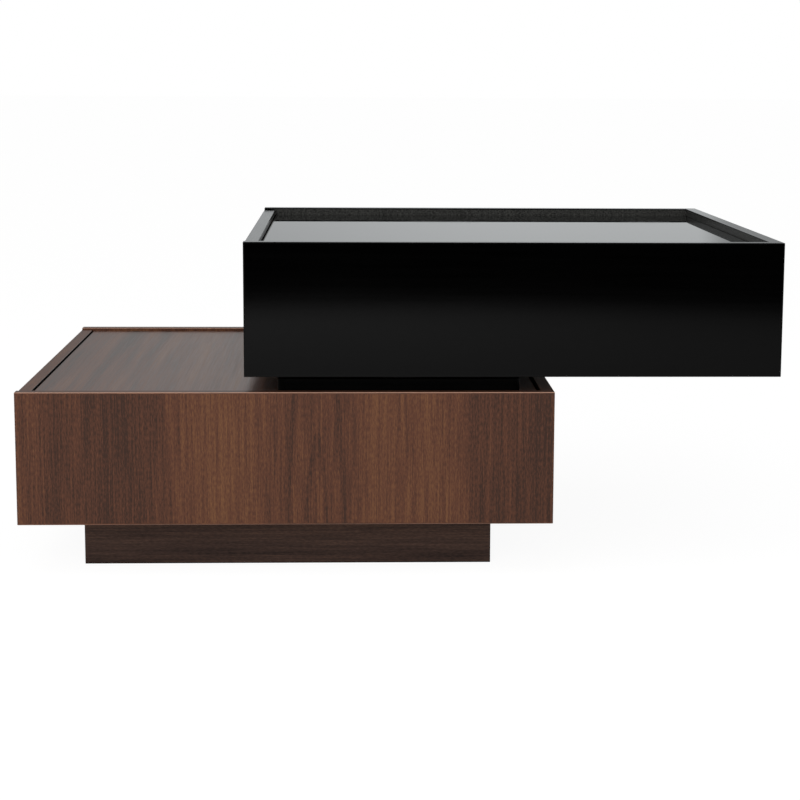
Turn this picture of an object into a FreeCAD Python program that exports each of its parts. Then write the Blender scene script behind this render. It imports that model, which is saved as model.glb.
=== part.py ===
import FreeCAD, Part
import os

# Swivel coffee table: a black box with a glass top turns on a walnut box that stands on a plinth.
# Millimetres, +Z up, front towards -Y. The origin is on the floor under the middle of the table
# as it stands turned out, so the pivot axis lies on the plane X = 0.

# Both boxes
BOX_SIDE = 700.0  # outside width and depth
BOX_HEIGHT = 175.0  # outside height, edge bands included
WALL = 17.0  # thickness of a wall board
EDGE_BAND = 2.0  # thickness of the band glued round a wall board
BAND_ROUND = 0.8  # rounding along a band's outer arrises
BAND_JOINT = 0.1  # hairline joint between two bands at a corner
LOW_WALL_DROP = 3.0  # the left wall stops this much below the other rims
FLOOR_PANEL = 16.0  # thickness of a box's floor
FLOOR_RECESS = 2.0  # the floor's underside lies this far above the walls' lower edges
PANEL_FIT = 0.5  # gap between an inset panel and the walls

# Base box and its plinth
BASE_TOP = 19.0  # thickness of the base's top panel
BASE_TOP_RECESS = 5.0  # top panel below the rim
BASE_TOP_JOINT = 2.5  # open joint beside the left and right walls
PLINTH_HEIGHT = 70.0  # floor to the box's lower edge
PLINTH_INSET = 77.0  # plinth face behind the box's face
PLINTH_BOARD = 18.0
PLINTH_ROUND = 1.0  # rounding of the plinth's upright corners
GLIDE_DIAMETER = 16.0
GLIDE_HEIGHT = 1.0
GLIDE_CHAMFER = 0.3
GLIDE_END_INSET = 40.0  # end glides from the plinth's corners
GLIDES_PER_LONG_RAIL = 3

# Joinery inside the boxes
CLEAT_WIDTH = 20.0
CLEAT_HEIGHT = 30.0
CORNER_BLOCK_LEG = 45.0
CORNER_BLOCK_HEIGHT = 45.0
DOWEL_DIAMETER = 8.0
DOWEL_LENGTH = 32.0
DOWEL_SEAT = 12.0  # depth of a dowel in the face of a wall
DOWEL_CHAMFER = 1.0
DOWEL_EDGE = 35.0  # corner dowels from a wall's upper and lower edges
DOWELS_PER_CORNER = 3
FLOOR_DOWEL_EDGE = 120.0  # floor dowels from a wall's ends
FLOOR_DOWELS_PER_WALL = 3
FIT = 0.1  # clearance round dowels, screws and the bush

# Wood screws, with flush heads
SCREW_SHANK = 4.0
SCREW_HEAD = 8.0
SCREW_TIP = 4.0
PLINTH_SCREW_BITE = 10.0  # depth in the base's floor
RISER_SCREW_BITE = 25.0  # depth in a bearer
PLATE_SCREW_BITE = 10.0  # depth in the riser or in the top box's floor

# Swivel
BEARER = 19.0  # thickness of the boards on edge under the swivel
RISER_SIDE = 320.0
RISER_HEIGHT = 16.0
RISER_ROUND = 12.0  # rounding of the riser's upright corners
RISER_MARGIN = 25.0  # riser from the inner faces of the base's front and right walls
RISER_SCREW_EDGE = 30.0  # riser screws from the riser's sides
PLATE_DIAMETER = 290.0
PLATE = 3.0  # thickness of a race plate
PLATE_CHAMFER = 0.6
PLATE_SPACING = 5.0  # open height between the two plates
PLATE_SCREW_CIRCLE = 170.0
PLATE_SCREWS = 6
BALL_CIRCLE = 240.0
BALL_DIAMETER = 8.0
BALLS = 18
RACE_CLEARANCE = 0.1  # between a ball and its groove
CAGE_WIDTH = 18.0
CAGE_HEIGHT = 2.5
POCKET_CLEARANCE = 0.15  # between a ball and its pocket
BOLT_DIAMETER = 12.0
BOLT_HEX = 19.0  # across the flats of the head and the nut
BOLT_HEAD_HEIGHT = 7.5
BOLT_HOLE_CLEARANCE = 0.2
BOLT_END = 3.0  # bolt above the nut
NUT_HEIGHT = 12.0
THREAD_FIT = 0.05
PLATE_WASHER_DIAMETER = 50.0
PLATE_WASHER = 3.0  # thickness of the washer under the base's top
WASHER_DIAMETER = 36.0
WASHER = 2.5  # thickness of the washer under the nut
WASHER_PLAY = 0.2  # end play between that washer and the bush
BUSH_WALL = 3.0
BUSH_CLEARANCE = 0.08  # running fit on the bolt
FLANGE_DIAMETER = 32.0
FLANGE = 3.0  # thickness of the bush's flange

# Glass top
GLASS = 6.0
GLASS_RECESS = 11.0  # glass below the rim
GLASS_GAP = 1.5  # gap round the glass
GLASS_ARRIS = 0.8  # ground edge of the glass
PAD_DIAMETER = 10.0
PAD_HEIGHT = 1.5
PAD_EDGE = 60.0  # outer pads from the walls
PADS_PER_ROW = 3
DECK = 16.0  # thickness of the board under the glass

# Levels and places that follow from the sizes above
PIVOT_INSET = RISER_SIDE / 2 + RISER_MARGIN + WALL  # pivot axis from the base's front and right faces
PIVOT_OFFSET = BOX_SIDE / 2 - PIVOT_INSET  # pivot axis from a box's centre, along X and along Y
BASE_X = -PIVOT_OFFSET
TOP_X = PIVOT_OFFSET
PIVOT_Y = -PIVOT_OFFSET
BASE_LOW = PLINTH_HEIGHT
BASE_TOP_FACE = BASE_LOW + BOX_HEIGHT - BASE_TOP_RECESS
BASE_TOP_UNDERSIDE = BASE_TOP_FACE - BASE_TOP
LOWER_PLATE_LOW = BASE_TOP_FACE + RISER_HEIGHT
RACE_LOW = LOWER_PLATE_LOW + PLATE
BALL_LEVEL = RACE_LOW + PLATE_SPACING / 2
UPPER_PLATE_LOW = RACE_LOW + PLATE_SPACING
TOP_FLOOR_LOW = UPPER_PLATE_LOW + PLATE
TOP_FLOOR_FACE = TOP_FLOOR_LOW + FLOOR_PANEL
TOP_LOW = TOP_FLOOR_LOW - FLOOR_RECESS
GLASS_LOW = TOP_LOW + BOX_HEIGHT - GLASS_RECESS - GLASS
DECK_FACE = GLASS_LOW - PAD_HEIGHT
DECK_UNDERSIDE = DECK_FACE - DECK
INNER_HALF = BOX_SIDE / 2 - WALL
PLINTH_HALF = BOX_SIDE / 2 - PLINTH_INSET

Vector = FreeCAD.Vector
EAST = Vector(1, 0, 0)
NORTH = Vector(0, 1, 0)
UP = Vector(0, 0, 1)

nodes = {}


# Basic forms

def span(low, high):
    """Rectangular block between two opposite corners."""
    low = Vector(low)
    size = Vector(high) - low
    return Part.makeBox(size.x, size.y, size.z, low)


def board(centre_x, half_x, half_y, low, high):
    """Level board centred on a box, from its half sizes and its lower and upper faces."""
    return span((centre_x - half_x, -half_y, low), (centre_x + half_x, half_y, high))


def spread(low, high, count):
    """Evenly spaced positions from low to high, both included."""
    return [low + (high - low) * i / (count - 1) for i in range(count)]


def turned(profile, place, axis=UP):
    """Solid turned about an axis through place; the profile gives (radius, distance along the axis)."""
    points = [Vector(radius, 0, distance) for radius, distance in profile]
    outline = Part.makePolygon(points + points[:1])
    solid = Part.Face(outline).revolve(Vector(), UP, 360)
    solid.Placement = FreeCAD.Placement(Vector(place), FreeCAD.Rotation(UP, axis))
    return solid


def rod(diameter, low, high, x=0.0, y=PIVOT_Y):
    """Upright cylinder, on the pivot axis unless told otherwise."""
    return Part.makeCylinder(diameter / 2, high - low, Vector(x, y, low))


def tube(outer, inner, low, high):
    """Upright ring on the pivot axis, from its two diameters."""
    return rod(outer, low, high).cut(rod(inner, low, high))


def hexagon(across_flats, low, high):
    """Upright hexagonal prism on the pivot axis."""
    corner = Vector(across_flats / 3 ** 0.5, 0, 0)
    points = [FreeCAD.Rotation(UP, 60 * i).multVec(corner) + Vector(0, PIVOT_Y, low) for i in range(7)]
    return Part.Face(Part.makePolygon(points)).extrude(UP * (high - low))


def around_pivot(radius, count, level):
    """Points spaced evenly on a circle about the pivot axis."""
    centre = Vector(0, PIVOT_Y, level)
    turns = [FreeCAD.Rotation(UP, 360 / count * i) for i in range(count)]
    return [centre + turn.multVec(EAST * radius) for turn in turns]


def edges_along(solid, direction):
    return [edge for edge in solid.Edges if abs(edge.tangentAt(edge.FirstParameter).dot(direction)) > 0.99]


def screw(place, axis, length, fit=0.0):
    """Flush-headed wood screw; a fit above zero makes the hole that takes it."""
    head = SCREW_HEAD / 2 + fit
    shank = SCREW_SHANK / 2 + fit
    end = length + fit
    profile = [(0, 0), (head, 0), (shank, head - shank), (shank, end - SCREW_TIP), (0, end)]
    return turned(profile, place, axis)


def dowel(place, axis):
    """Chamfered dowel, which starts in a wall's face."""
    radius = DOWEL_DIAMETER / 2
    neck = radius - DOWEL_CHAMFER
    shoulder = DOWEL_LENGTH - DOWEL_CHAMFER
    start = [(0, 0), (neck, 0), (radius, DOWEL_CHAMFER)]
    end = [(radius, shoulder), (neck, DOWEL_LENGTH), (0, DOWEL_LENGTH)]
    return turned(start + end, place, axis)


def dowel_hole(place, axis):
    """Drilled hole that takes a dowel."""
    return Part.makeCylinder(DOWEL_DIAMETER / 2 + FIT, DOWEL_LENGTH + 2 * FIT, place - axis * FIT, axis)


def corner_block(corner, x_way, y_way, leg, height):
    """Triangular glue block that fills an upright inside corner."""
    points = [corner, corner + EAST * x_way * leg, corner + NORTH * y_way * leg, corner]
    return Part.Face(Part.makePolygon(points)).extrude(UP * height)


# Boxes

def add_wall(name, low, high, along, banded_ends, holes):
    """Wall board with its edge bands: top and bottom, and at the ends of a front or back wall."""
    low = Vector(low)
    high = Vector(high)
    body = span(low, high)
    arrises = body.Edges if banded_ends else edges_along(body, along)
    body = body.makeFillet(BAND_ROUND, arrises)
    strips = [
        span(low, Vector(high.x, high.y, low.z + EDGE_BAND)),
        span(Vector(low.x, low.y, high.z - EDGE_BAND), high),
    ]
    slots = list(strips)
    if banded_ends:
        reach = along * ((high - low).dot(along) - EDGE_BAND)
        rise = UP * (EDGE_BAND + BAND_JOINT)
        strips.append(span(low + rise, high - rise - reach))
        strips.append(span(low + rise + reach, high - rise))
        slots.append(span(low, high - reach))
        slots.append(span(low + reach, high))
    nodes[name + "_edge_bands"] = Part.makeCompound([body.common(strip) for strip in strips])
    nodes[name + "_panel"] = body.cut(slots + holes)


def dowel_places(centre_x, low_z):
    """Start and direction of each dowel: wall to wall in the corners, then walls to floor."""
    joint = INNER_HALF + DOWEL_SEAT
    wall_middle = BOX_SIDE / 2 - WALL / 2
    heights = spread(low_z + DOWEL_EDGE, low_z + BOX_HEIGHT - LOW_WALL_DROP - DOWEL_EDGE, DOWELS_PER_CORNER)
    floor_level = low_z + FLOOR_RECESS + FLOOR_PANEL / 2
    steps = spread(FLOOR_DOWEL_EDGE - BOX_SIDE / 2, BOX_SIDE / 2 - FLOOR_DOWEL_EDGE, FLOOR_DOWELS_PER_WALL)
    places = []
    for way in (-1, 1):
        for x in (centre_x - wall_middle, centre_x + wall_middle):
            places += [(Vector(x, way * joint, z), NORTH * -way) for z in heights]
        places += [(Vector(centre_x + step, way * joint, floor_level), NORTH * -way) for step in steps]
        places += [(Vector(centre_x + way * joint, step, floor_level), EAST * -way) for step in steps]
    return places


def add_box(name, centre_x, low_z, shelf_z, floor_holes):
    """Four walls, floor, dowels and corner blocks, with cleats that carry a panel at shelf_z."""
    half = BOX_SIDE / 2
    high_z = low_z + BOX_HEIGHT
    left = centre_x - half
    right = centre_x + half
    places = dowel_places(centre_x, low_z)
    holes = [dowel_hole(place, axis) for place, axis in places]
    add_wall(name + "_front", (left, -half, low_z), (right, -INNER_HALF, high_z), EAST, True, holes)
    add_wall(name + "_back", (left, INNER_HALF, low_z), (right, half, high_z), EAST, True, holes)
    left_end = (left + WALL, INNER_HALF, high_z - LOW_WALL_DROP)
    add_wall(name + "_left", (left, -INNER_HALF, low_z), left_end, NORTH, False, holes)
    right_start = (right - WALL, -INNER_HALF, low_z)
    add_wall(name + "_right", right_start, (right, INNER_HALF, high_z), NORTH, False, holes)
    nodes[name + "_dowels"] = Part.makeCompound([dowel(place, axis) for place, axis in places])

    floor_half = INNER_HALF - PANEL_FIT
    floor_low = low_z + FLOOR_RECESS
    floor_face = floor_low + FLOOR_PANEL
    floor = board(centre_x, floor_half, floor_half, floor_low, floor_face)
    nodes[name + "_bottom_panel"] = floor.cut(holes + floor_holes)

    blocks = []
    for x_way in (-1, 1):
        for y_way in (-1, 1):
            corner = Vector(centre_x + x_way * INNER_HALF, y_way * INNER_HALF, floor_face)
            blocks.append(corner_block(corner, -x_way, -y_way, CORNER_BLOCK_LEG, CORNER_BLOCK_HEIGHT))
    nodes[name + "_corner_blocks"] = Part.makeCompound(blocks)

    inner_left = centre_x - INNER_HALF
    inner_right = centre_x + INNER_HALF
    side_half = INNER_HALF - CLEAT_WIDTH
    low = shelf_z - CLEAT_HEIGHT
    cleats = {
        "front": ((inner_left, -INNER_HALF, low), (inner_right, -side_half, shelf_z)),
        "back": ((inner_left, side_half, low), (inner_right, INNER_HALF, shelf_z)),
        "left": ((inner_left, -side_half, low), (inner_left + CLEAT_WIDTH, side_half, shelf_z)),
        "right": ((inner_right - CLEAT_WIDTH, -side_half, low), (inner_right, side_half, shelf_z)),
    }
    for side, (start, end) in cleats.items():
        nodes[name + "_" + side + "_cleat"] = span(start, end)


# Plinth

def add_plinth():
    """Frame of rails with corner blocks, screwed to the base's floor; returns the screw holes."""
    low = GLIDE_HEIGHT
    high = PLINTH_HEIGHT + FLOOR_RECESS
    outer = PLINTH_HALF
    inner = PLINTH_HALF - PLINTH_BOARD
    left = BASE_X - outer
    right = BASE_X + outer
    outside = span((left, -outer, low), (right, outer, high))
    outside = outside.makeFillet(PLINTH_ROUND, edges_along(outside, UP))
    nodes["plinth_front_rail"] = outside.common(span((left, -outer, low), (right, -inner, high)))
    nodes["plinth_back_rail"] = outside.common(span((left, inner, low), (right, outer, high)))
    nodes["plinth_left_rail"] = span((left, -inner, low), (left + PLINTH_BOARD, inner, high))
    nodes["plinth_right_rail"] = span((right - PLINTH_BOARD, -inner, low), (right, inner, high))
    nodes["plinth_centre_rail"] = board(BASE_X, PLINTH_BOARD / 2, inner, low, high)

    blocks = []
    screws = []
    holes = []
    block_low = high - CORNER_BLOCK_HEIGHT
    length = CORNER_BLOCK_HEIGHT + PLINTH_SCREW_BITE
    for x_way in (-1, 1):
        for y_way in (-1, 1):
            corner = Vector(BASE_X + x_way * inner, y_way * inner, block_low)
            middle = corner - (EAST * x_way + NORTH * y_way) * (CORNER_BLOCK_LEG / 3)
            hole = screw(middle, UP, length, FIT)
            block = corner_block(corner, -x_way, -y_way, CORNER_BLOCK_LEG, CORNER_BLOCK_HEIGHT)
            blocks.append(block.cut(hole))
            screws.append(screw(middle, UP, length))
            holes.append(hole)
    nodes["plinth_corner_blocks"] = Part.makeCompound(blocks)
    nodes["plinth_screws"] = Part.makeCompound(screws)
    return holes


def add_glides():
    """Low pads under the plinth's rails."""
    rail_middle = PLINTH_HALF - PLINTH_BOARD / 2
    end = PLINTH_HALF - GLIDE_END_INSET
    spots = [(x, y) for y in (-rail_middle, rail_middle) for x in spread(-end, end, GLIDES_PER_LONG_RAIL)]
    spots += [(-rail_middle, 0), (rail_middle, 0)]
    radius = GLIDE_DIAMETER / 2
    foot = radius - GLIDE_CHAMFER
    profile = [(0, 0), (foot, 0), (radius, GLIDE_CHAMFER), (radius, GLIDE_HEIGHT), (0, GLIDE_HEIGHT)]
    nodes["floor_glides"] = Part.makeCompound([turned(profile, (BASE_X + x, y, 0)) for x, y in spots])


# Swivel

def riser_screws(fit=0.0):
    reach = RISER_SIDE / 2 - RISER_SCREW_EDGE
    length = RISER_HEIGHT + BASE_TOP + RISER_SCREW_BITE
    spots = [Vector(x, PIVOT_Y + y, LOWER_PLATE_LOW) for x in (-reach, reach) for y in (-reach, reach)]
    return [screw(spot, UP * -1, length, fit) for spot in spots]


def plate_screws(level, axis, fit=0.0):
    places = around_pivot(PLATE_SCREW_CIRCLE / 2, PLATE_SCREWS, level)
    return [screw(place, axis, PLATE + PLATE_SCREW_BITE, fit) for place in places]


def race_plate(low, bore, screw_holes):
    """Round plate with half of the balls' groove, a bore for the pivot and flush screw holes."""
    radius = PLATE_DIAMETER / 2
    rim = radius - PLATE_CHAMFER
    shoulder = PLATE - PLATE_CHAMFER
    outside = [(rim, 0), (radius, PLATE_CHAMFER), (radius, shoulder), (rim, PLATE)]
    plate = turned([(bore / 2, 0)] + outside + [(bore / 2, PLATE)], (0, PIVOT_Y, low))
    groove_radius = BALL_DIAMETER / 2 + RACE_CLEARANCE
    groove = Part.makeTorus(BALL_CIRCLE / 2, groove_radius, Vector(0, PIVOT_Y, BALL_LEVEL))
    return plate.cut([groove] + screw_holes)


def add_base_swivel():
    """Bearers, riser, fixed race plate and pivot bolt; also drills the base's top panel."""
    bolt_hole = BOLT_DIAMETER + 2 * BOLT_HOLE_CLEARANCE
    shaft_hole = rod(bolt_hole, BASE_TOP_UNDERSIDE, LOWER_PLATE_LOW)
    long_holes = riser_screws(FIT)
    short_holes = plate_screws(RACE_LOW, UP * -1, FIT)

    half_x = INNER_HALF - BASE_TOP_JOINT
    half_y = INNER_HALF - PANEL_FIT
    panel = board(BASE_X, half_x, half_y, BASE_TOP_UNDERSIDE, BASE_TOP_FACE)
    nodes["base_top_panel"] = panel.cut([shaft_hole] + long_holes)

    bearer_y = INNER_HALF - CLEAT_WIDTH
    bearer_low = BASE_LOW + FLOOR_RECESS + FLOOR_PANEL
    offset = RISER_SIDE / 2 - RISER_SCREW_EDGE
    for side, x in (("left", -offset), ("right", offset)):
        low = (x - BEARER / 2, -bearer_y, bearer_low)
        high = (x + BEARER / 2, bearer_y, BASE_TOP_UNDERSIDE)
        nodes["swivel_bearer_" + side] = span(low, high).cut(long_holes)

    half = RISER_SIDE / 2
    riser = span((-half, PIVOT_Y - half, BASE_TOP_FACE), (half, PIVOT_Y + half, LOWER_PLATE_LOW))
    riser = riser.makeFillet(RISER_ROUND, edges_along(riser, UP))
    nodes["swivel_riser"] = riser.cut([shaft_hole] + long_holes + short_holes)
    nodes["riser_screws"] = Part.makeCompound(riser_screws())

    nodes["lower_race_plate"] = race_plate(LOWER_PLATE_LOW, bolt_hole, short_holes)
    nodes["lower_plate_screws"] = Part.makeCompound(plate_screws(RACE_LOW, UP * -1))

    washer_low = BASE_TOP_UNDERSIDE - PLATE_WASHER
    nodes["pivot_plate_washer"] = tube(PLATE_WASHER_DIAMETER, bolt_hole, washer_low, BASE_TOP_UNDERSIDE)
    nut_washer_low = TOP_FLOOR_FACE + FLANGE + WASHER_PLAY
    nut_low = nut_washer_low + WASHER
    nut_high = nut_low + NUT_HEIGHT
    nodes["pivot_washer"] = tube(WASHER_DIAMETER, bolt_hole, nut_washer_low, nut_low)
    thread = BOLT_DIAMETER + 2 * THREAD_FIT
    nodes["pivot_nut"] = hexagon(BOLT_HEX, nut_low, nut_high).cut(rod(thread, nut_low, nut_high))
    head = hexagon(BOLT_HEX, washer_low - BOLT_HEAD_HEIGHT, washer_low)
    nodes["pivot_bolt"] = head.fuse(rod(BOLT_DIAMETER, washer_low, nut_high + BOLT_END))


def add_ball_ring():
    """Balls between the two plates, with the cage that spaces them."""
    centres = around_pivot(BALL_CIRCLE / 2, BALLS, BALL_LEVEL)
    balls = [Part.makeSphere(BALL_DIAMETER / 2, centre) for centre in centres]
    nodes["bearing_balls"] = Part.makeCompound(balls)
    low = BALL_LEVEL - CAGE_HEIGHT / 2
    high = BALL_LEVEL + CAGE_HEIGHT / 2
    pocket = BALL_DIAMETER + 2 * POCKET_CLEARANCE
    pockets = [rod(pocket, low, high, centre.x, centre.y) for centre in centres]
    nodes["ball_cage"] = tube(BALL_CIRCLE + CAGE_WIDTH, BALL_CIRCLE - CAGE_WIDTH, low, high).cut(pockets)


def add_top_swivel():
    """Turning race plate and bush; returns the holes that they need in the top box's floor."""
    bush_bore = BOLT_DIAMETER + 2 * BUSH_CLEARANCE
    bush_outer = bush_bore + 2 * BUSH_WALL
    bush_hole = bush_outer + 2 * FIT
    holes = plate_screws(UPPER_PLATE_LOW, UP, FIT)
    nodes["upper_race_plate"] = race_plate(UPPER_PLATE_LOW, bush_hole, holes)
    nodes["upper_plate_screws"] = Part.makeCompound(plate_screws(UPPER_PLATE_LOW, UP))
    sleeve = tube(bush_outer, bush_bore, UPPER_PLATE_LOW, TOP_FLOOR_FACE)
    flange = tube(FLANGE_DIAMETER, bush_bore, TOP_FLOOR_FACE, TOP_FLOOR_FACE + FLANGE)
    nodes["pivot_bush"] = sleeve.fuse(flange).removeSplitter()
    return holes + [rod(bush_hole, TOP_FLOOR_LOW, TOP_FLOOR_FACE)]


# Glass top

def add_glass_top():
    """Deck on the cleats, pads on the deck and the glass on the pads."""
    deck_half = INNER_HALF - PANEL_FIT
    nodes["top_deck"] = board(TOP_X, deck_half, deck_half, DECK_UNDERSIDE, DECK_FACE)
    glass_half = INNER_HALF - GLASS_GAP
    glass = board(TOP_X, glass_half, glass_half, GLASS_LOW, GLASS_LOW + GLASS)
    nodes["top_glass"] = glass.makeChamfer(GLASS_ARRIS, glass.Edges)
    steps = spread(PAD_EDGE - INNER_HALF, INNER_HALF - PAD_EDGE, PADS_PER_ROW)
    pads = [rod(PAD_DIAMETER, DECK_FACE, GLASS_LOW, TOP_X + x, y) for x in steps for y in steps]
    nodes["glass_pads"] = Part.makeCompound(pads)


plinth_screw_holes = add_plinth()
add_glides()
add_box("base", BASE_X, BASE_LOW, BASE_TOP_UNDERSIDE, plinth_screw_holes)
add_base_swivel()
add_ball_ring()
top_floor_holes = add_top_swivel()
add_box("top", TOP_X, TOP_LOW, DECK_UNDERSIDE, top_floor_holes)
add_glass_top()

os.makedirs("parts", exist_ok=True)
for node, shape in nodes.items():
    shape.exportStep("parts/" + node + ".step")
print(len(nodes), "nodes")
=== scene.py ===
import math

import bpy
from mathutils import Matrix, Vector


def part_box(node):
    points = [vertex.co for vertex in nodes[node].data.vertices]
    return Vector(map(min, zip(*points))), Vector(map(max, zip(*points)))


# Swivel coffee table: the finish of every board, band, plate and fastener, in a plain pale studio.
# Metres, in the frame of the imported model: +Z up, front towards -Y.

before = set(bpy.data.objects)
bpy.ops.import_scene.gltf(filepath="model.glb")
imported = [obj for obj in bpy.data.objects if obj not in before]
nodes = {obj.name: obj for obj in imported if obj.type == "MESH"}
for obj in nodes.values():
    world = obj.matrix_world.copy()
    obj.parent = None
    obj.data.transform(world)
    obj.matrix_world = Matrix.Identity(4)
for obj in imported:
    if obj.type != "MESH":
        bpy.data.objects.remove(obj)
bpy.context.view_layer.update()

# Camera, fitted to the photograph
IMAGE_PIXELS = 800
FOCAL_PIXELS = 2040.5
LENS_COLUMN = 432.5  # pixel column that the lens points at; the photograph is cropped off its centre
CAMERA_PLACE = Vector((-0.0654, -2.9685, 0.6510))
CAMERA_YAW = math.radians(2.356)  # turned to the right of +Y
CAMERA_PITCH = math.radians(9.022)  # tipped down
CAMERA_ROLL = math.radians(-0.323)
SENSOR_MM = 36.0

# Light on the table
FILL_HORIZON = 0.8  # soft light from all round
FILL_DROP = 0.5  # how much weaker it is overhead
SOFTBOX_TARGET = Vector((0, 0, 0.2))

# What gloss mirrors, from 0 for black to 1 for white, along X, Y and Z of a ray's unit direction
WALL_SHADE = 0.64  # pale wall behind the table
FRONT_SHADE = 0.02  # dark room in front of it
WALL_SIDES = (-0.3, 0.3)  # Y where the front gives way to the wall behind
CEILING = (0.1, 0.6)  # Z where the walls give way to the white ceiling
WALL_END = (0.168, 0.184)  # X where the wall ends on the right
WALL_PAST_END = 0.27  # how much darker it is past that end
WALL_FADE = (-0.2, 0.1)  # X where the wall fades on the left
WALL_FADED = 0.22  # how much darker it is there
WALL_CORNER = (-0.16, -0.04)  # X where it fades further into its left corner
WALL_CORNER_FADED = 0.24  # how much darker it is again there
WHITE = (1, 1, 1, 1)
COOL_WHITE = (0.96, 0.99, 1, 1)  # tint of the walls and the ceiling

# Floor
FLOOR_SIZE = 120.0
FLOOR_TONE = 0.8
FLOOR_GLOW = 0.93  # plain white in the floor as the camera sees it
FLOOR_SHADOW = 0.13  # the floor's own tone beside that glow, which takes the shadow
MIRROR_GLOW = 0.22  # plain white in the floor as gloss mirrors it
PAPER_EDGE = (3.25, 3.85)  # gloss mirrors a floor that ends this far from the table

# Turns that bring a board's grain, along an axis of the table, to a pattern's own Z
GRAIN_UP = (0, 0, 0)
GRAIN_DEEP = (math.pi / 2, 0, 0)
GRAIN_WIDE = (0, -math.pi / 2, 0)

# Stretches of the grain that boards come from
FIRST_CUT = (0, 0, 0)
WALL_CUT = (13.856, 10.0, 0)
TOP_CUT = (0.345, 0.2, 0.1)
# the plinth's stretch runs darker towards its bottom and lighter a little above its middle
PLINTH_CUT = (18.938, 0, 0)

# Tones, from dark to light
WALNUT_TONES = ((0.042, 0.022, 0.016, 1), (0.098, 0.040, 0.024, 1), (0.160, 0.073, 0.034, 1))
# Painted shade: the plinth's walnut, made darker than the walls' for the shade under the box's overhang
PLINTH_SHADED_TONES = ((0.016, 0.0105, 0.0095, 1), (0.053, 0.031, 0.024, 1), (0.110, 0.062, 0.044, 1))
PINE_TONES = ((0.42, 0.26, 0.13, 1), (0.56, 0.40, 0.23, 1), (0.66, 0.50, 0.31, 1))
CHIP_TONES = ((0.26, 0.17, 0.09, 1), (0.42, 0.31, 0.2, 1), (0.53, 0.42, 0.29, 1))
WELL_TONES = ((0.008, 0.008, 0.0075, 1), (0.060, 0.060, 0.056, 1))
GLASS_TONES = ((0.006, 0.0065, 0.0065, 1), (0.009, 0.0095, 0.0095, 1))
ZINC_TONES = ((0.48, 0.49, 0.51, 1), (0.62, 0.63, 0.65, 1))
PLASTIC_TONES = ((0.024, 0.022, 0.02, 1), (0.036, 0.034, 0.032, 1))
RUBBER_TONES = ((0.54, 0.54, 0.52, 1), (0.66, 0.66, 0.64, 1))
# Painted highlight: pale colour for the light that a walnut band's rounded top and bottom arrises catch
BAND_HIGHLIGHT = (0.42, 0.245, 0.175, 1)
BLACK_STAIN = (0.003, 0.003, 0.003, 1)

# Grain and texture
NOISE_MEAN = 0.5
GRAIN_TONE = 0.445  # mean place of a timber on its scale of tones
TIMBER_SPREAD = 0.35  # how far its darkest and lightest tones lie from the middle one
SPECK_SHARE = 0.75  # strength of the specks beside the fine lines
LINE_ROUGHNESS = 0.35  # how much the fine lines change the polish
CLOUD_WIDTH = 40  # a coating's clouds, in cells of its fine texture

# Heart of a board, and the leaves of veneer beside it
VENEER_LEAF = 0.25  # width of the leaf at the heart
OUTER_LEAF = 0.6  # width of the leaves beside it
LEAF_SHADE = 0.15  # how much darker a leaf's edges are, and how much lighter its middle
LEAF_START = 0.4  # share of the first leaf over which that sets in
RINGS = 46  # year rings to a metre
RING_WOBBLE = 0.5  # how far they wander, in rings
RING_EDGE = (0.66, 0.96)  # share of a ring's width where it turns dark
RING_SHADE = 0.15  # how much darker the rings are
RING_MEAN = 0.42  # taken off them, so that the heart is no darker on the whole
HEART_SIZE = (0.034, 0.05)  # distance from the heart where the rings fade out

# Foot of the heart of each wall of the base, just outside the wall, and its lean going up, along X and Y
HEARTS = {
    "front": ((-0.109, -0.354), (0.0, 0.11)),
    "back": ((-0.30, 0.354), (0.0, -0.09)),
    "left": ((-0.502, 0.12), (0.09, 0.0)),
    "right": ((0.206, -0.10), (-0.09, 0.0)),
}

# Edges of the finishes
BAND_ARRIS = 0.0008  # rounding along an edge band
BAND_HIGHLIGHT_WIDTH = 0.0008  # width of the painted highlight along the top and bottom edges of a walnut band's face
BAND_HIGHLIGHT_BLUR = 0.0001  # width over which that line fades out
LOWER_HIGHLIGHT = 0.3  # strength of that painted highlight along the lower edge
INNER_FACE = (0.0003, 0.0006)  # past a box's inner faces, where the finish changes
WELL_DEPTH = 0.001  # below the glass's top, where the well's finish begins
LACQUERED_RIM = (0.0004, 0.0001)  # below the top of a black band, where its lacquer begins


# Shader expressions

class Wire:
    """A shader socket in a Python expression. Arithmetic adds Math nodes; node() adds any other node."""

    def __init__(self, tree, socket=None):
        self.tree = tree
        self.socket = socket

    def node(self, kind, settings, sockets, output=0):
        """A new node, from its settings and then the values or links of its sockets."""
        made = self.tree.nodes.new(kind)
        for name, value in settings.items():
            if name == "stops":
                set_stops(made.color_ramp, value)
            else:
                setattr(made, name, value)
        for name, value in sockets.items():
            if isinstance(value, Wire):
                self.tree.links.new(value.socket, made.inputs[name])
            else:
                made.inputs[name].default_value = value
        return Wire(self.tree, made.outputs[output] if made.outputs else None)

    def maths(self, operation, *others):
        """This value put through a Math node, with any others that the operation takes."""
        return self.node("ShaderNodeMath", {"operation": operation}, dict(enumerate((self, *others))))

    def __add__(self, other):
        return self.maths("ADD", other)

    __radd__ = __add__

    def __sub__(self, other):
        return self.maths("SUBTRACT", other)

    def __rsub__(self, other):
        return self.maths("MULTIPLY_ADD", -1.0, other)

    def __mul__(self, other):
        return self.maths("MULTIPLY", other)

    __rmul__ = __mul__

    def __abs__(self):
        return self.maths("ABSOLUTE")


def set_stops(ramp, stops):
    while len(ramp.elements) < len(stops):
        ramp.elements.new(1.0)
    for element, (position, colour) in zip(ramp.elements, stops):
        element.position = position
        element.color = colour


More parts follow.
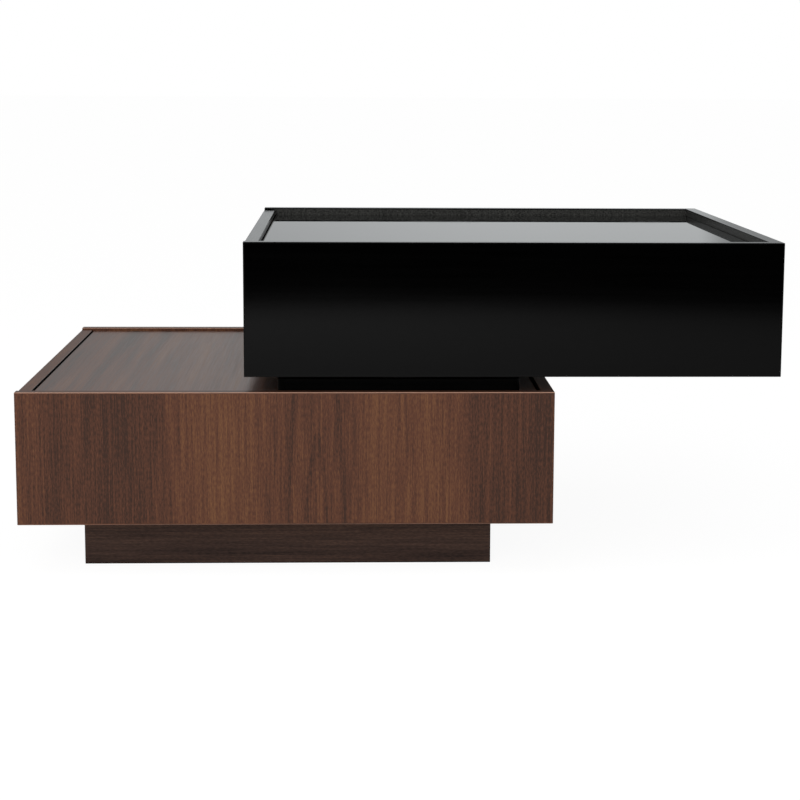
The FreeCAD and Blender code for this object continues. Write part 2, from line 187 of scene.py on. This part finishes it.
def new_finish(name):
    """An empty material, and a wire to build its nodes with."""
    material = bpy.data.materials.new(name)
    material.use_nodes = True
    material.node_tree.nodes.clear()
    return material, Wire(material.node_tree)


def shade(material, wire, sockets):
    """Close a material with one shader that takes these sockets."""
    shader = wire.node("ShaderNodeBsdfPrincipled", {}, sockets)
    wire.node("ShaderNodeOutputMaterial", {}, {"Surface": shader})
    return material


def greys(*levels):
    return tuple((level, level, level, 1) for level in levels)


def table_point(wire, turn=GRAIN_UP, cut=FIRST_CUT):
    """The place on the table, with a board's grain turned to Z and moved to its cut of the pattern."""
    place = wire.node("ShaderNodeTexCoord", {}, {}, "Object")
    return wire.node("ShaderNodeMapping", {}, {"Vector": place, "Rotation": turn, "Location": cut})


def part_of(point, axis):
    return point.node("ShaderNodeSeparateXYZ", {}, {"Vector": point}, axis)


def noise(point, across, along, detail=2.0, roughness=0.5):
    """Noise with so many cells to a metre across the grain and along it."""
    scaled = point.node("ShaderNodeMapping", {}, {"Vector": point, "Scale": (across, across, along)})
    sockets = {"Vector": scaled, "Scale": 1.0, "Detail": detail, "Roughness": roughness}
    return point.node("ShaderNodeTexNoise", {}, sockets, "Fac")


def swing(value):
    """A noise's swing to both sides of its mean."""
    return value - NOISE_MEAN


def step(value, low, high):
    """Smooth step from 0 at low to 1 at high."""
    sockets = {"Value": value, "From Min": low, "From Max": high}
    return value.node("ShaderNodeMapRange", {"interpolation_type": "SMOOTHSTEP"}, sockets)


def tones(value, palette, spread):
    """Colour of a noise, from the first tone at a spread below its mean to the last one as far above."""
    gap = 2 * spread / (len(palette) - 1)
    stops = [(NOISE_MEAN - spread + gap * place, colour) for place, colour in enumerate(palette)]
    return value.node("ShaderNodeValToRGB", {"stops": stops}, {"Fac": value}, "Color")


def blend(share, first, second):
    """Colour that goes from first to second with the share."""
    factor, colour_a, colour_b, mixed = 0, 6, 7, 2  # a Mix node's own numbers for its colour sockets
    sockets = {factor: share, colour_a: first, colour_b: second}
    return share.node("ShaderNodeMix", {"data_type": "RGBA"}, sockets, mixed)


def bump(height, depth):
    sockets = {"Height": height, "Strength": 1.0, "Distance": depth}
    return height.node("ShaderNodeBump", {}, sockets, "Normal")


# Finishes

def grain(point, fineness=1.0, contrast=0.95):
    """Tone of a timber and its fine lines: long streaks of several widths, with specks between."""
    streaks = noise(point, across=22, along=0.6, detail=4, roughness=0.88)
    lines = noise(point, across=360, along=7, roughness=0.9)
    specks = noise(point, across=600, along=170, detail=1)
    fine = swing(lines) + SPECK_SHARE * swing(specks)
    return GRAIN_TONE + contrast * swing(streaks) + fineness * fine, lines


def heartwood(point, foot, lean):
    """Darker wood in the rings at a board's heart, which leans going up, and at the leaves' edges."""
    up = part_of(point, "Z")
    across = part_of(point, "X") - foot[0] - lean[0] * up
    deep = part_of(point, "Y") - foot[1] - lean[1] * up
    radius = (across * across + deep * deep).maths("SQRT")
    ring = (radius * RINGS + RING_WOBBLE * noise(point, across=40, along=3)).maths("FRACT")
    rings = (step(ring, *RING_EDGE) - RING_MEAN) * (1 - step(radius, *HEART_SIZE))
    near = radius.maths("MINIMUM", VENEER_LEAF) * (math.tau / VENEER_LEAF)
    far = (radius - VENEER_LEAF).maths("MAXIMUM", 0.0) * (math.tau / OUTER_LEAF)
    leaves = (near + far).maths("COSINE") * step(radius, 0, VENEER_LEAF * LEAF_START)
    return RING_SHADE * rings + LEAF_SHADE * leaves


def inside_of(place, well, sides):
    """1 on what lies within a box's inner faces on these axes, and 0 further out."""
    centre, half = well
    gaps = [abs(part_of(place, "XYZ"[axis]) - centre[axis]) for axis in sides]
    reach = gaps[0] if len(gaps) == 1 else gaps[0].maths("MAXIMUM", gaps[1])
    return 1 - step(reach, *(half + past for past in INNER_FACE))


def timber(name, turn, palette, heart=None, stained=None, cut=FIRST_CUT, roughness=0.42, gloss=1.2,
           fineness=1.0, contrast=0.95):
    """Board with its grain along one axis, stained black within a box's inner faces if that is given."""
    material, wire = new_finish(name)
    tone, lines = grain(table_point(wire, turn, cut), fineness, contrast)
    if heart:
        tone = tone - heartwood(table_point(wire, turn), *heart)
    colour = tones(tone, palette, TIMBER_SPREAD)
    if stained:
        colour = blend(inside_of(table_point(wire), stained, (0,)), colour, BLACK_STAIN)
    sockets = {
        "Base Color": colour,
        "Roughness": roughness + LINE_ROUGHNESS * fineness * swing(lines),
        "IOR": gloss,
        "Normal": bump(lines, depth=0.00004),
    }
    return shade(material, wire, sockets)


def walnut_band(name, turn, node, thin, stained=None):
    """Walnut edge band: the grain runs along it, and a painted highlight, a pale colour for the light on
    its rounded arrises, shows along its top and bottom on the faces of the board.
    """
    low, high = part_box(node)
    middle = (low + high) / 2
    half = (high - low) / 2
    material, wire = new_finish(name)
    place = table_point(wire)
    tone, lines = grain(table_point(wire, turn))
    colour = tones(tone, WALNUT_TONES, TIMBER_SPREAD)
    face_gap = abs(part_of(place, "XYZ"[thin]) - middle[thin])
    face = step(face_gap, half[thin] - BAND_ARRIS, half[thin] - BAND_ARRIS / 2)
    level = part_of(place, "Z")
    upper = step(level, high.z - BAND_HIGHLIGHT_WIDTH - BAND_HIGHLIGHT_BLUR, high.z - BAND_HIGHLIGHT_WIDTH)
    lower = 1 - step(level, low.z + BAND_HIGHLIGHT_WIDTH, low.z + BAND_HIGHLIGHT_WIDTH + BAND_HIGHLIGHT_BLUR)
    # painted highlight along the top of the band's face, and a weaker one along its bottom
    colour = blend(face * (upper + LOWER_HIGHLIGHT * lower), colour, BAND_HIGHLIGHT)
    if stained:
        colour = blend(inside_of(place, stained, (0,)), colour, BLACK_STAIN)
    sockets = {
        "Base Color": colour,
        "Roughness": 0.36 + 0.1 * swing(lines),
        "IOR": 1.22,
        "Normal": bump(lines, depth=0.00002),
    }
    return shade(material, wire, sockets)


def black_board(name, turn, well):
    """Black board: smooth outside, and matt with a fine grain in the well above the glass."""
    material, wire = new_finish(name)
    point = table_point(wire, turn)
    fine = noise(point, across=480, along=380, roughness=0.8)
    streaks = noise(point, across=160, along=4, detail=3)
    smooth = tones(streaks, greys(0.0003, 0.0006), spread=0.2)
    grained = tones(fine, WELL_TONES, spread=0.17)
    place = table_point(wire)
    glass_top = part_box("top_glass")[1].z
    above_glass = step(part_of(place, "Z"), glass_top - WELL_DEPTH, glass_top)
    inside = inside_of(place, well, (0, 1)) * above_glass
    sockets = {
        "Base Color": blend(inside, smooth, grained),
        "Roughness": 0.07 + 0.36 * inside + 0.04 * swing(streaks),
        "IOR": 1.175,
        "Coat Weight": 0.3 * inside,
        "Coat Roughness": 0.25,
        "Normal": bump(fine * (0.05 + inside), depth=0.00003),
    }
    return shade(material, wire, sockets)


def black_band(name, turn, node):
    """Black edge band, lacquered along the rim."""
    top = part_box(node)[1].z
    material, wire = new_finish(name)
    fine = noise(table_point(wire, turn), across=700, along=10)
    rim = step(part_of(table_point(wire), "Z"), *(top - below for below in LACQUERED_RIM))
    sockets = {
        "Base Color": tones(fine, greys(0.001, 0.002), spread=0.2),
        "Roughness": 0.16 + 0.1 * swing(fine),
        "IOR": 1.18,
        "Coat Weight": 0.3 * rim,
        "Coat Roughness": 0.14,
        "Normal": bump(fine, depth=0.00001),
    }
    return shade(material, wire, sockets)


def black_glass():
    """Polished glass, painted black behind, with faint wiping marks."""
    material, wire = new_finish("black_glass")
    smears = noise(table_point(wire), across=9, along=9, detail=4, roughness=0.6)
    sockets = {
        "Base Color": tones(smears, GLASS_TONES, spread=0.2),
        "Roughness": 0.02 + 0.03 * step(smears, 0.45, 0.75),
        "IOR": 1.5,
    }
    return shade(material, wire, sockets)


def chip_board():
    """Bare particle board: flakes of several tones, pressed flat."""
    material, wire = new_finish("plain_board")
    point = table_point(wire)
    flakes = wire.node("ShaderNodeTexVoronoi", {}, {"Vector": point, "Scale": 380.0}, "Color")
    flake = wire.node("ShaderNodeSeparateColor", {}, {"Color": flakes}, "Red")
    tone = 0.6 * flake + 0.4 * noise(point, across=60, along=60, detail=3)
    sockets = {
        "Base Color": tones(tone, CHIP_TONES, spread=0.3),
        "Roughness": 0.75 + 0.2 * swing(flake),
        "Normal": bump(flake, depth=0.0001),
    }
    return shade(material, wire, sockets)


def coating(name, palette, cells, depth, roughness, more=None):
    """Paint, plastic or plating: a fine texture of so many cells to a metre, in faint wide clouds."""
    material, wire = new_finish(name)
    point = table_point(wire)
    grit = noise(point, across=cells, along=cells)
    clouds = noise(point, across=cells / CLOUD_WIDTH, along=cells / CLOUD_WIDTH, detail=3)
    sockets = {
        "Base Color": tones(0.5 * grit + 0.5 * clouds, palette, spread=0.15),
        "Roughness": roughness + 0.15 * swing(clouds) + 0.1 * swing(grit),
        "Normal": bump(grit, depth),
    }
    sockets.update(more or {})
    return shade(material, wire, sockets)


# Dressing of the pieces

def dress(material, *names):
    """Give a material to CAD nodes."""
    for name in names:
        for slot in nodes[name].material_slots:
            slot.material = material


def well_of(box):
    """Centre of a box, and the distance from there to the inner faces of its walls."""
    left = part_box(box + "_left_panel")[1].x
    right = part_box(box + "_right_panel")[0].x
    return Vector(((left + right) / 2, 0, 0)), (right - left) / 2


def dress_base():
    """Walnut box: upright grain on the walls, grain from front to back on the top."""
    for side, heart in HEARTS.items():
        wall = "base_" + side
        thin = 1 if side in ("front", "back") else 0  # axis through the wall's thickness
        run = GRAIN_WIDE if thin else GRAIN_DEEP
        stained = None if thin else well_of("base")
        board = timber(wall + "_walnut", GRAIN_UP, WALNUT_TONES, heart, stained, WALL_CUT, contrast=0.75)
        dress(board, wall + "_panel")
        dress(walnut_band(wall + "_band", run, wall + "_edge_bands", thin, stained), wall + "_edge_bands")
    varnish = {"roughness": 0.37, "gloss": 1.5, "fineness": 0.5, "contrast": 2.0}
    dress(timber("base_top_walnut", GRAIN_DEEP, WALNUT_TONES, cut=TOP_CUT, **varnish), "base_top_panel")
    plain = {"cut": PLINTH_CUT, "roughness": 0.5, "fineness": 0.55}
    # painted shade: the plinth rails take the darker walnut tones, for the shade under the overhang
    wide = timber("plinth_walnut_painted_shade_wide", GRAIN_WIDE, PLINTH_SHADED_TONES, **plain)
    deep = timber("plinth_walnut_painted_shade_deep", GRAIN_DEEP, PLINTH_SHADED_TONES, **plain)
    dress(wide, "plinth_front_rail", "plinth_back_rail")
    dress(deep, "plinth_left_rail", "plinth_right_rail")


def dress_top():
    """Black box with its glass."""
    well = well_of("top")
    wide = black_board("black_board_wide", GRAIN_WIDE, well)
    deep = black_board("black_board_deep", GRAIN_DEEP, well)
    dress(wide, "top_front_panel", "top_back_panel")
    dress(deep, "top_left_panel", "top_right_panel")
    backing = coating("black_backing", greys(0.06, 0.08), cells=700, depth=0.00003, roughness=0.6)
    dress(backing, "top_bottom_panel")
    for side in ("front", "back", "left", "right"):
        bands = "top_" + side + "_edge_bands"
        run = GRAIN_WIDE if side in ("front", "back") else GRAIN_DEEP
        dress(black_band("black_band_" + side, run, bands), bands)
    dress(black_glass(), "top_glass")


def dress_inside():
    """Timber and board that the boxes hide."""
    wide = timber("pine_wide", GRAIN_WIDE, PINE_TONES, roughness=0.6)
    deep = timber("pine_deep", GRAIN_DEEP, PINE_TONES, roughness=0.6)
    upright = timber("pine_upright", GRAIN_UP, PINE_TONES, roughness=0.6)
    for box in ("base", "top"):
        dress(wide, box + "_front_cleat", box + "_back_cleat", box + "_dowels")
        dress(deep, box + "_left_cleat", box + "_right_cleat")
        dress(upright, box + "_corner_blocks")
    dress(deep, "plinth_centre_rail")
    dress(upright, "plinth_corner_blocks")
    dress(chip_board(), "base_bottom_panel", "swivel_bearer_left", "swivel_bearer_right", "top_deck")


def dress_fittings():
    """The swivel between the boxes, and the screws, glides and pads."""
    paint = coating("black_paint", greys(0.001, 0.002), cells=900, depth=0.00003, roughness=0.55,
                    more={"IOR": 1.15})
    dress(paint, "swivel_riser")
    powder = coating("black_steel", greys(0.014, 0.026), cells=2400, depth=0.00005, roughness=0.45)
    dress(powder, "lower_race_plate", "upper_race_plate")
    zinc = coating("zinc_steel", ZINC_TONES, cells=1800, depth=0.00001, roughness=0.34,
                   more={"Metallic": 1.0})
    dress(zinc, "plinth_screws", "riser_screws", "lower_plate_screws", "upper_plate_screws")
    dress(zinc, "pivot_bolt", "pivot_plate_washer", "pivot_washer", "pivot_nut")
    steel = coating("bearing_steel", greys(0.58, 0.66), cells=1500, depth=0.000002, roughness=0.12,
                    more={"Metallic": 1.0})
    dress(steel, "bearing_balls")
    nylon = coating("nylon", greys(0.05, 0.07), cells=1600, depth=0.00002, roughness=0.42)
    dress(nylon, "ball_cage", "pivot_bush")
    plastic = coating("glide_plastic", PLASTIC_TONES, cells=1300, depth=0.00004, roughness=0.5)
    dress(plastic, "floor_glides")
    rubber = coating("clear_rubber", RUBBER_TONES, cells=1100, depth=0.00003, roughness=0.5)
    dress(rubber, "glass_pads")


# Studio

def seen_rays(wire):
    """The share of camera rays, and of all the rays that show a background."""
    camera = wire.node("ShaderNodeLightPath", {}, {}, "Is Camera Ray")
    glossy = wire.node("ShaderNodeLightPath", {}, {}, "Is Glossy Ray")
    through = wire.node("ShaderNodeLightPath", {}, {}, "Is Transmission Ray")
    return camera, camera.maths("MAXIMUM", glossy).maths("MAXIMUM", through)


def add_world():
    """White to the camera; gloss mirrors a pale wall under a white ceiling; a soft fill for the rest."""
    world = bpy.data.worlds.new("studio")
    world.use_nodes = True
    world.node_tree.nodes.clear()
    bpy.context.scene.world = world
    wire = Wire(world.node_tree)
    camera, seen = seen_rays(wire)
    way = wire.node("ShaderNodeTexCoord", {}, {}, "Generated")
    side = part_of(way, "X")
    behind = WALL_SHADE - WALL_PAST_END * step(side, *WALL_END)
    behind = behind - WALL_FADED * (1 - step(side, *WALL_FADE))
    behind = behind - WALL_CORNER_FADED * (1 - step(side, *WALL_CORNER))
    walls = FRONT_SHADE + (behind - FRONT_SHADE) * step(part_of(way, "Y"), *WALL_SIDES)
    mirrored = walls + (1 - walls) * step(part_of(way, "Z"), *CEILING)
    backdrop = camera.maths("MAXIMUM", mirrored)
    fill = FILL_HORIZON - FILL_DROP * part_of(way, "Z")
    strength = seen * backdrop + (1 - seen) * fill
    tint = blend(seen - camera, WHITE, COOL_WHITE)
    light = wire.node("ShaderNodeBackground", {}, {"Color": tint, "Strength": strength})
    wire.node("ShaderNodeOutputWorld", {}, {"Surface": light})


def add_floor():
    """Pale floor, plain white to the camera but for the table's shadow, and painted black as shadow under
    the plinth.
    """
    bpy.ops.mesh.primitive_plane_add(size=FLOOR_SIZE)
    floor = bpy.context.object
    floor.name = "studio_floor"
    material, wire = new_finish("studio_floor")
    camera, seen = seen_rays(wire)
    place = wire.node("ShaderNodeTexCoord", {}, {}, "Object")
    away = wire.node("ShaderNodeVectorMath", {"operation": "LENGTH"}, {0: place}, "Value")
    mirror = (seen - camera) * (1 - step(away, *PAPER_EDGE))
    low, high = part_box("plinth_front_rail")
    off_x = abs(part_of(place, "X") - (low.x + high.x) / 2)
    reach = off_x.maths("MAXIMUM", abs(part_of(place, "Y")))
    # Painted shadow: under the plinth's footprint the floor gets neither glow nor tone for the camera, so
    # the gap below the plinth shows black
    foot = reach.maths("LESS_THAN", (high.x - low.x) / 2)
    shown = camera * (1 - foot)
    tone = FLOOR_TONE * (1 - seen + mirror) + FLOOR_SHADOW * shown
    matt = wire.node("ShaderNodeBsdfDiffuse", {}, {"Color": tone})
    strength = FLOOR_GLOW * shown + MIRROR_GLOW * mirror
    glow = wire.node("ShaderNodeEmission", {}, {"Color": WHITE, "Strength": strength})
    both = wire.node("ShaderNodeAddShader", {}, {0: matt, 1: glow})
    wire.node("ShaderNodeOutputMaterial", {}, {"Surface": both})
    floor.data.materials.append(material)


def add_softbox(name, place, width, height, watts):
    """Soft lamp that faces the table and shows neither to the camera nor in gloss."""
    light = bpy.data.lights.new(name, "AREA")
    light.shape = "RECTANGLE"
    light.size = width
    light.size_y = height
    light.energy = watts
    lamp = bpy.data.objects.new(name, light)
    lamp.location = place
    lamp.rotation_euler = (SOFTBOX_TARGET - Vector(place)).to_track_quat("-Z", "Y").to_euler()
    lamp.visible_glossy = False
    lamp.visible_camera = False
    bpy.context.scene.collection.objects.link(lamp)


def add_camera():
    """Camera at the photograph's place, turned by its yaw, pitch and roll."""
    flat = math.cos(CAMERA_PITCH)
    ahead = Vector((math.sin(CAMERA_YAW) * flat, math.cos(CAMERA_YAW) * flat, -math.sin(CAMERA_PITCH)))
    level = Vector((math.cos(CAMERA_YAW), -math.sin(CAMERA_YAW), 0))
    down = ahead.cross(level)
    across = level * math.cos(CAMERA_ROLL) + down * math.sin(CAMERA_ROLL)
    up = level * math.sin(CAMERA_ROLL) - down * math.cos(CAMERA_ROLL)
    data = bpy.data.cameras.new("camera")
    data.sensor_width = SENSOR_MM
    data.lens = FOCAL_PIXELS * SENSOR_MM / IMAGE_PIXELS
    data.shift_x = 0.5 - LENS_COLUMN / IMAGE_PIXELS
    camera = bpy.data.objects.new("camera", data)
    turn = Matrix((across, up, -ahead)).transposed()
    camera.matrix_world = Matrix.Translation(CAMERA_PLACE) @ turn.to_4x4()
    bpy.context.scene.collection.objects.link(camera)
    bpy.context.scene.camera = camera


dress_base()
dress_top()
dress_inside()
dress_fittings()
add_world()
add_floor()
add_softbox("overhead_softbox", place=(-0.6, -1.6, 3.0), width=2.6, height=2.6, watts=22)
add_softbox("front_softbox", place=(-0.7, -3.4, 1.15), width=2.4, height=1.8, watts=54)
add_camera()
bpy.context.scene.view_settings.view_transform = "Standard"

bpy.context.view_layer.update()
